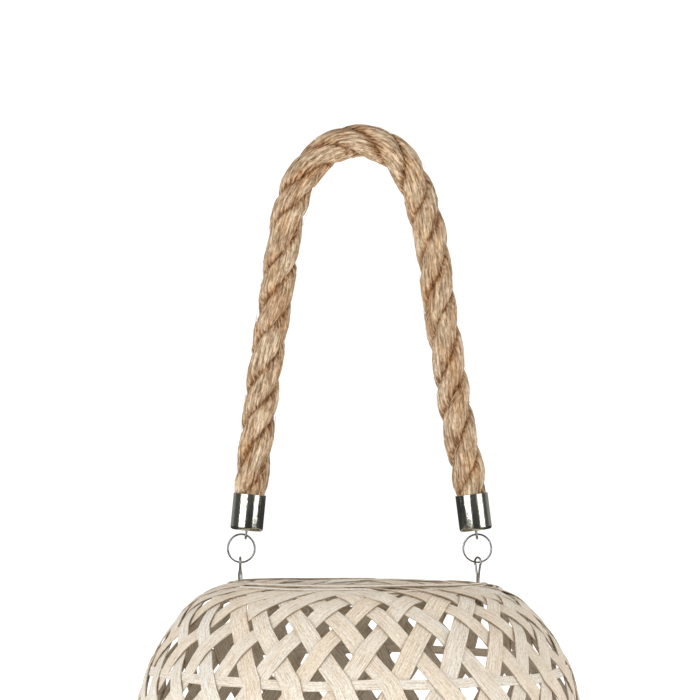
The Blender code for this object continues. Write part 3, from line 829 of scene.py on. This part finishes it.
def drift_tables():
    """How far every strip strays, in radians: fitted ones at the front, the rest random."""
    tables = {}
    _, arc, turn, _ = strip_run()
    whole, local = DRIFT_SPREADS
    for side in SIDES:
        table = np.radians(random.normal(0.0, whole, (STRIPS, 1))
                           + random.normal(0.0, local, (STRIPS, len(DRIFT_PLACES))))
        climb = np.interp(DRIFT_PLACES, arc, turn)
        azimuth = PHASE[side] + np.arange(STRIPS)[:, None] * SPACING + LEAN[side] * climb
        table -= BACK_SHIFT * SPACING * smoothstep(-np.cos(azimuth), 0.0, 0.7)
        for strip, row in DRIFT[side].items():
            table[strip % STRIPS] = np.radians(row)
        tables[side] = table
    return tables


DRIFTS = drift_tables()


def drift_of(side, strip, arc):
    """A strip's drift. Between two strips, when strip isn't whole, it is a mix of theirs."""
    low = np.floor(strip).astype(int)
    part = strip - low
    columns = np.interp(arc, DRIFT_PLACES, np.arange(len(DRIFT_PLACES)))
    first = np.minimum(columns.astype(int), len(DRIFT_PLACES) - 2)
    share = columns - first
    table = DRIFTS[side]

    def at(row):
        return table[row % STRIPS, first] * (1.0 - share) + table[row % STRIPS, first + 1] * share

    evened = 1.0 - 0.6 * fade_out(arc, *DRIFT_FOOT_ZONE)
    return (at(low) * (1.0 - part) + at(low + 1) * part) * evened


def strip_set(name, side, materials):
    """Strips that all lean one way, woven through the other set and laid into the border."""
    work = Patchwork()
    marks, arc, turn, slant = strip_run()
    lean = LEAN[side]
    other = "right" if side == "left" else "left"
    radius = np.interp(arc, ARC, MIDDLE[:, 0])
    room = SPACING * radius * np.cos(slant)
    for number in range(STRIPS):
        own = drift_of(side, np.full(arc.shape, float(number)), arc)
        stray = random.normal(0.0, BORDER_STRAY) * smoothstep(arc, *STRAY_ZONE)
        azimuth = PHASE[side] + number * SPACING + lean * turn + own + stray

        # It meets a strip of the other set wherever row is a whole number: over one, under one.
        crossing = (azimuth - PHASE[other] + lean * turn) / SPACING
        theirs = drift_of(other, crossing, arc)
        row = (2.0 * turn - PHASE["left"] + PHASE["right"] + lean * (own - theirs)) / SPACING
        wave = np.cos(math.pi * row)
        weave = -lean * WEAVE_LIFT * np.sign(wave) * np.abs(wave) ** 0.9

        # In the border one set lies over the other. They change places at LEAD_TURN.
        facing = (azimuth - LEAD_TURN + math.pi) % math.tau - math.pi
        lead = -lean * np.tanh(facing / LEAD_BLEND)
        right = smoothstep(facing, *RIGHT_START) * fade_out(facing, *RIGHT_END)
        in_border = smoothstep(arc - BORDER_DELAY * right, *BORDER_ZONE)
        border = 0.5 * BORDER_LAYER * lead + random.uniform(*LAYER_SPREAD) * BORDER_LAYER
        lift = weave * (1.0 - in_border) + border * in_border

        full = np.interp(arc, WIDTH_PLACES, WIDTHS) * random.uniform(*WIDTH_SPREAD)
        half = 0.5 * np.minimum(full, room * random.uniform(*ROOM_SPREAD))
        pace, start = random.uniform(*EDGE_PACES), random.uniform(0.0, 6.0)
        half = half + EDGE_WAVE * np.sin(marks * pace + start)
        across = half[:, None] * WIDE
        cup = random.uniform(*CUP_SPREAD) * WIDE ** 2
        tilt = BORDER_TILT_LEFT + (BORDER_TILT_RIGHT - BORDER_TILT_LEFT) * right
        tilt = tilt * random.uniform(*TILT_SPREAD) * (1.0 - smoothstep(arc, *TILT_ZONE))
        cup = cup - tilt[:, None] * lean * WIDE * in_border[:, None]
        points = on_wall(
            arc[:, None] - lean * across * np.sin(slant)[:, None],
            azimuth[:, None] + across * np.cos(slant)[:, None] / radius[:, None],
            lift[:, None] - cup + THICK,
        )
        around = AROUND * STRIP_GRAIN + random.uniform(*GRAIN_SHIFT)
        along = marks + random.uniform(*GRAIN_SHIFT)
        work.add(points, around, along, random.uniform(0.0, 1.0), SECTION_SLOTS)
    return work.build(name, materials, sharp=30.0)


def rim_splits(name, materials):
    """Narrow splits of cane that bind the top of the border."""
    work = Patchwork()
    for number in range(SPLITS):
        start = random.uniform(0.0, math.tau)
        length, first, last = (random.uniform(*spread) for spread in SPLIT_LONG)
        if number % 3 == 0:
            length, first, last = (random.uniform(*spread) for spread in SPLIT_SHORT)
        turn = np.linspace(0.0, length, 120)
        arc = first + (last - first) * turn / length
        pace, shift = random.uniform(*SPLIT_PACES), random.uniform(0.0, 6.0)
        arc = arc + SPLIT_SWAY * np.sin(turn * pace + shift)
        half = random.uniform(*SPLIT_HALF_WIDTHS) * np.minimum(
            1.0, 8.0 * turn * (length - turn) + 0.4)
        ends = 1.0 - (smoothstep(turn, 0.0, SPLIT_TAPER)
                      * smoothstep(length - turn, 0.0, SPLIT_TAPER))
        lift = random.uniform(*SPLIT_LIFTS) - SPLIT_DIP * ends
        # Every other split's top face is paler: a painted highlight.
        slots = [PAINTED_HIGHLIGHT_SLOT if slot == 0 and number % 2 else slot for slot in SECTION_SLOTS]
        points = on_wall(arc[:, None] - half[:, None] * WIDE, (start + turn)[:, None],
                         lift[:, None] + SPLIT_THICKNESS * THICK)
        around = AROUND * SPLIT_GRAIN + random.uniform(*GRAIN_SHIFT)
        along = turn * RIM_RADIUS + random.uniform(*GRAIN_SHIFT)
        work.add(points, around, along, random.uniform(0.0, 1.0), slots)
    return work.build(name, materials, sharp=30.0)


def make_weave():
    outside = bamboo("bamboo_washed", (0.84, 0.81, 0.74), (0.84, 0.72, 0.57), (0.74, 0.66, 0.57))
    # The inside faces are raw bamboo, made darker still as painted shade inside the basket.
    inside = bamboo("bamboo_inside_raw_with_painted_shade", (0.74, 0.67, 0.56), (0.62, 0.53, 0.41), (0.66, 0.58, 0.50))
    # The edges are raw bamboo, made darker still as painted shadow lines along the strips.
    edge = bamboo("bamboo_edge_raw_with_painted_shade", (0.62, 0.54, 0.43), (0.48, 0.38, 0.27), (0.85, 0.75, 0.62))
    materials = [outside, inside, edge]
    place(strip_set("strips_leaning_left", "left", materials), "basket", "bamboo",
          "weave_outer_strips")
    place(strip_set("strips_leaning_right", "right", materials), "basket", "bamboo",
          "weave_inner_strips")
    # A paler bamboo for the tops of every other rim split: a painted highlight.
    pale = bamboo("bamboo_pale_painted_highlight", (0.93, 0.92, 0.87), (0.90, 0.84, 0.73), (0.84, 0.78, 0.70))
    place(rim_splits("rim_splits", materials + [pale]), "basket", "bamboo", "rim_border")
    return materials


def make_hoops(materials):
    turn = np.linspace(0.0, math.tau + HOOP_OVERLAP, 280)
    step = HOOP_STEP * smoothstep(turn, math.tau - 0.1, math.tau + 0.05)
    sway = 0.0005 * np.sin(turn * 5.0) + 0.0004 * np.sin(turn * 11.0 + 1.0)
    for node in ("hoop_upper", "hoop_middle", "hoop_lower"):
        arc = arc_at(0.5 * sum(levels(node))) + sway
        points = on_wall(arc[:, None] - HOOP_HALF_WIDTH * WIDE, turn[:, None],
                         (step - HOOP_SINK)[:, None] + HOOP_THICKNESS * THICK)
        work = Patchwork()
        work.add(points, AROUND * HOOP_GRAIN, turn * HOOP_RADIUS, 0.25, SECTION_SLOTS)
        place(work.build(node + "_cane", materials, sharp=30.0), "basket", "cane", node)


def make_core(materials):
    angles = np.linspace(0.0, math.tau, 20, endpoint=False)
    section = np.stack([CORE_RADIUS + CORE_CANE * np.cos(angles),
                        CORE_HEIGHT + CORE_CANE * np.sin(angles)], 1)
    core = turned("rim_core_cane", section, 120, materials[1])
    place(core, "basket", "cane", "rim_core_hoop")


# Rope handle

def cap_matrix(side):
    x, z = CAP_BOTTOM[side]
    return Matrix.Translation((x, 0.0, z)) @ Matrix.Rotation(CAP_TILT[side], 4, "Y")


def rope_path():
    """The whole centreline, from inside the left cap to inside the right one."""
    start = [np.array(cap_matrix("left") @ Vector((0.0, 0.0, z))) for z in ROPE_IN_CAP]
    end = [np.array(cap_matrix("right") @ Vector((0.0, 0.0, z))) for z in reversed(ROPE_IN_CAP)]
    middle = [np.array((x, 0.0, z)) for x, z in ROPE_ROUTE]
    return start + middle + end


def stray_fibres(path, along):
    """Loose fibres that stand off the rope."""
    material = simple_grain("jute_fibre", ((0.50, 0.36, 0.22), (0.80, 0.66, 0.47)),
                            (300.0, 300.0, 300.0), 0.9, 0.0001)
    work = Patchwork()
    ahead = unit(np.gradient(path, axis=0))
    steps = np.linspace(0.0, 1.0, 8)
    for _ in range(FIBRES):
        start = random.uniform(FIBRE_MARGIN, along[-1] - FIBRE_MARGIN)
        length, slope = random.uniform(*FIBRE_LENGTHS), random.uniform(*FIBRE_SLOPES)
        turn = random.uniform(0.0, math.tau) + length * steps * math.sin(slope) / ROPE_RADIUS
        marks = start + length * steps * math.cos(slope)
        rise = random.uniform(*FIBRE_RISES) * steps ** random.uniform(*FIBRE_BENDS)
        spots = np.stack([np.interp(marks, along, path[:, k]) for k in range(3)], 1)
        axis = unit(np.stack([np.interp(marks, along, ahead[:, k]) for k in range(3)], 1))
        out = np.cos(turn)[:, None] * np.cross(axis, BACKWARD) + np.sin(turn)[:, None] * BACKWARD
        work.add_wire(spots + (ROPE_RADIUS * 0.985 + rise)[:, None] * out, FIBRE_RADIUS, 4)
    fuzz = work.build("rope_fibres", [material], sharp=180.0)
    place(fuzz, "handle", "rope")
    return fuzz


def make_rope():
    path = resample(catmull_rom(rope_path()), ROPE_RINGS)
    along = lengths_along(path)
    total = along[-1]
    angles = np.linspace(0.0, math.tau, ROPE_SIDES, endpoint=False)
    from_end = np.minimum(along, total - along)
    radius = ROPE_END_RADIUS + (ROPE_RADIUS - ROPE_END_RADIUS) * smoothstep(from_end, *ROPE_NECK)

    # Where each point lies across its strand, after the lay wanders a little.
    sway = np.array([noise.noise(Vector((length * 26.0, 3.1, 7.7))) for length in along])
    phase = ROPE_TWIST - math.tau * along / ROPE_LAY + 0.35 * sway
    phase = angles[None, :] + phase[:, None]
    for i, length in enumerate(along):
        for j, angle in enumerate(phase[i]):
            spot = Vector((0.9 * math.cos(angle), 0.9 * math.sin(angle), length * 48.0))
            phase[i, j] += 0.42 * noise.noise(spot)
    groove = np.abs(2.0 * ((phase * 0.5 * STRANDS / math.pi + 0.5) % 1.0 - 0.5))
    depth = GROOVE_DEPTH * smoothstep(from_end, *GROOVE_NECK) + LEAST_GROOVE
    surface = radius[:, None] * 1.03 - depth[:, None] * groove ** 3.0

    # Three sizes of lumps.
    ripple = np.zeros_like(surface)
    for i, length in enumerate(along):
        for j, angle in enumerate(angles):
            spot = Vector((math.cos(angle) * 5.2, math.sin(angle) * 5.2, length * 42.0))
            ripple[i, j] = noise.noise(spot * 1.6)
            ripple[i, j] += 0.6 * noise.noise(Vector((spot.x * 3.7, spot.y * 3.7, spot.z * 1.3)))
            ripple[i, j] += 0.5 * noise.noise(Vector((spot.x * 2.6, spot.y * 2.6, spot.z * 5.5)))
    surface += LUMP * ripple
    section = np.stack([surface * np.cos(angles), surface * np.sin(angles)], axis=2)
    work = Patchwork()
    work.add(swept(path, BACKWARD, section), np.append(angles, math.tau) * ROPE_RADIUS, along,
             groove)
    rope = work.build("rope_strands", [jute()], "groove", sharp=180.0)
    place(rope, "handle", "rope", "rope_handle")
    fuzz = stray_fibres(path, along)


# Metal fittings

def make_caps(metal, plated):
    shell = rounded_ring((
        (CAP_LIP, CAP_LENGTH), (CAP_RADIUS, CAP_LENGTH), (CAP_RADIUS, 0.0), (CAP_HOLE, 0.0),
        (CAP_HOLE, CAP_WALL), (CAP_INSIDE, CAP_WALL), (CAP_INSIDE, CAP_LENGTH),
    ), CAP_CORNERS, 7)
    line = wire_loop(STAPLE_LEG, -STAPLE_DROP, STAPLE_LOOP, np.linspace(0.0, -math.pi, 9), 5)
    for side in SIDES:
        cap = turned("cap_shell_" + side, shell, 120, metal)
        place(transform(cap, cap_matrix(side)), "handle", "nickel", "cap_" + side)
        staple = wire("staple_wire_" + side, line, STAPLE_WIRE, 14, plated)
        place(transform(staple, cap_matrix(side)), "handle", "steel", "staple_" + side)


def make_rings(plated):
    turn = np.linspace(0.0, 2.0 * math.tau, 300)
    step = RING_STEP * (smoothstep(turn, math.tau - 0.25, math.tau + 0.25) - 0.5)
    radius = RING_RADIUS + RING_WAVE * np.sin(turn * 3.0)
    for side in SIDES:
        angles = turn + RING_START[side]
        line = np.stack([RING_SQUEEZE[side] * radius * np.cos(angles), step,
                         radius * np.sin(angles)], 1)
        ring = wire("split_ring_" + side, line, RING_WIRE, 12, plated)
        stand = Matrix.Translation(RING_PLACE[side]) @ Matrix.Rotation(RING_TURN[side], 4, "Z")
        place(transform(ring, stand), "ring_" + side, "nickel", "ring_" + side)


def make_eyelets(plated):
    angles = np.linspace(-EYE_OPENING, math.pi + EYE_OPENING, 13)
    x, y, z = wire_loop(EYELET_LEG, EYE_HEIGHT, EYE_RADIUS, angles, 6).T
    for side in SIDES:
        wind = EYELET_TWIST[side] * fade_out(z, *TWIST_HEIGHTS)
        line = np.stack([x + y * np.sin(wind), y * np.cos(wind), z], 1)
        eyelet = wire("eyelet_wire_" + side, line, EYELET_WIRE, 12, plated)
        stand = (Matrix.Translation((EYELET_X[side], 0.0, 0.0))
                 @ Matrix.Rotation(EYELET_TURN[side], 4, "Z"))
        place(transform(eyelet, stand), "eyelet_" + side, "steel", "eyelet_" + side)


# Base, glass and candle

def make_base():
    ply = simple_grain("birch_ply", ((0.62, 0.47, 0.30), (0.76, 0.62, 0.44)),
                       (18.0, 190.0, 190.0), 0.6, 0.0004)
    bottom, top = levels("base_plate")
    low_radius, high_radius = BOARD_RADII
    board = rounded_ring((
        (NEAR_AXIS, top), (high_radius, top), (low_radius, bottom), (NEAR_AXIS, bottom),
    ), (0.0009, 0.0009, 0.0), 4)
    place(turned("base_board", board, 128, ply), "basket", "plywood", "base_plate")
    band = rounded_ring((
        (FOOT_INNER, 0.5 * FOOT_THICKNESS), (FOOT_INNER, FOOT_THICKNESS),
        (FOOT_OUTER, FOOT_THICKNESS), (FOOT_OUTER, 0.0), (FOOT_INNER, 0.0),
    ), (0.0006, 0.0006, 0.0009, 0.0009), 4)
    place(turned("foot_band", band, 128, ply), "basket", "plywood", "foot_ring")
    bottom, top = levels("glass_seat_ring")
    seat = rounded_ring((
        (SEAT_INNER, bottom + 0.003), (SEAT_INNER, top), (SEAT_OUTER, top),
        (SEAT_OUTER, bottom), (SEAT_INNER, bottom),
    ), (0.0012, 0.0018, 0.0004, 0.0004), 5)
    place(turned("glass_seat", seat, 96, ply), "basket", "plywood", "glass_seat_ring")
    steel = simple_grain("zinc_steel", ((0.45, 0.45, 0.46), (0.62, 0.62, 0.63)),
                         (400.0, 400.0, 400.0), 0.38, 0.0002, 1.0)
    for number in range(1, NAILS + 1):
        node = "foot_nail_%d" % number
        low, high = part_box(node)
        nail = turned("nail_%d" % number, rounded(NAIL_PROFILE, NAIL_CORNERS, 3), 24, steel)
        centre = Vector((0.5 * (low.x + high.x), 0.5 * (low.y + high.y), low.z))
        place(transform(nail, Matrix.Translation(centre)), "basket", "steel", node)


def make_glass():
    bottom, top = levels("glass_cylinder")
    profile = rounded((
        (NEAR_AXIS, bottom), (GLASS_RADIUS, bottom), (GLASS_RADIUS, top), (GLASS_INSIDE, top),
        (GLASS_INSIDE, bottom + GLASS_FLOOR), (NEAR_AXIS, bottom + GLASS_FLOOR),
    ), (0.0026, 0.0014, 0.0014, 0.0030), 6)
    place(turned("glass_tube", profile, 128, clear_glass()), "glass", "glass", "glass_cylinder")


def make_candle():
    bottom, top = levels("candle")
    profile = rounded((
        (NEAR_AXIS, bottom), (CANDLE_RADIUS, bottom), (CANDLE_RADIUS, top),
        *((radius, top - drop) for radius, drop in MELTED),
    ), CANDLE_CORNERS, 5)

    def melt(angles, radius, height):
        near = smoothstep(height, top - MELT_DEPTH, top)
        edge = 0.00022 * np.sin(3.0 * angles + 0.6) + 0.00014 * np.sin(7.0 * angles)
        return radius + edge * near * (radius > MELT_RADIUS), height - np.abs(edge) * near

    candle = turned("pillar_candle", profile, 96, wax(), melt)
    place(candle, "candle", "wax", "candle")


def make_wick():
    """A cotton braid that leans a little at its tip."""
    foot, tip = levels("wick")
    path = catmull_rom([np.array((x, 0.0, z)) for x, z in (
        (0.0, foot), (0.0, foot + 0.006), (0.0, foot + 0.0117),
        (0.0004, 0.55 * foot + 0.45 * tip + 0.004), (0.0016, tip - 0.0004),
    )], 12)
    turn = np.linspace(0.0, math.tau, 24, endpoint=False)
    along = lengths_along(path)
    twist = turn[None, :] - along[:, None] * WICK_TWIST
    radius = WICK_RADIUS + WICK_BRAID * np.abs(np.cos(1.5 * twist))
    radius[-1] *= 0.7
    section = np.stack([radius * np.cos(turn), radius * np.sin(turn)], 2)
    cotton = simple_grain("cotton_wick", ((0.10, 0.08, 0.06), (0.72, 0.69, 0.62)),
                          (500.0, 500.0, 160.0), 0.9, 0.0003)
    wick = Patchwork()
    wick.add(swept(path, BACKWARD, section), np.linspace(0.0, 0.005, 25), along)
    place(wick.build("braided_wick", [cotton]), "candle", "wick", "wick")


make_camera()
make_rope()
make_stage()
BAMBOO = make_weave()
make_hoops(BAMBOO)
make_core(BAMBOO)
PLATED = simple_grain("plated_wire", ((0.34, 0.34, 0.33), (0.60, 0.59, 0.57)),
                      (900.0, 900.0, 900.0), 0.22, 0.0001, 1.0)
make_caps(nickel(), PLATED)
make_rings(PLATED)
make_eyelets(PLATED)
make_base()
make_glass()
make_candle()
make_wick()
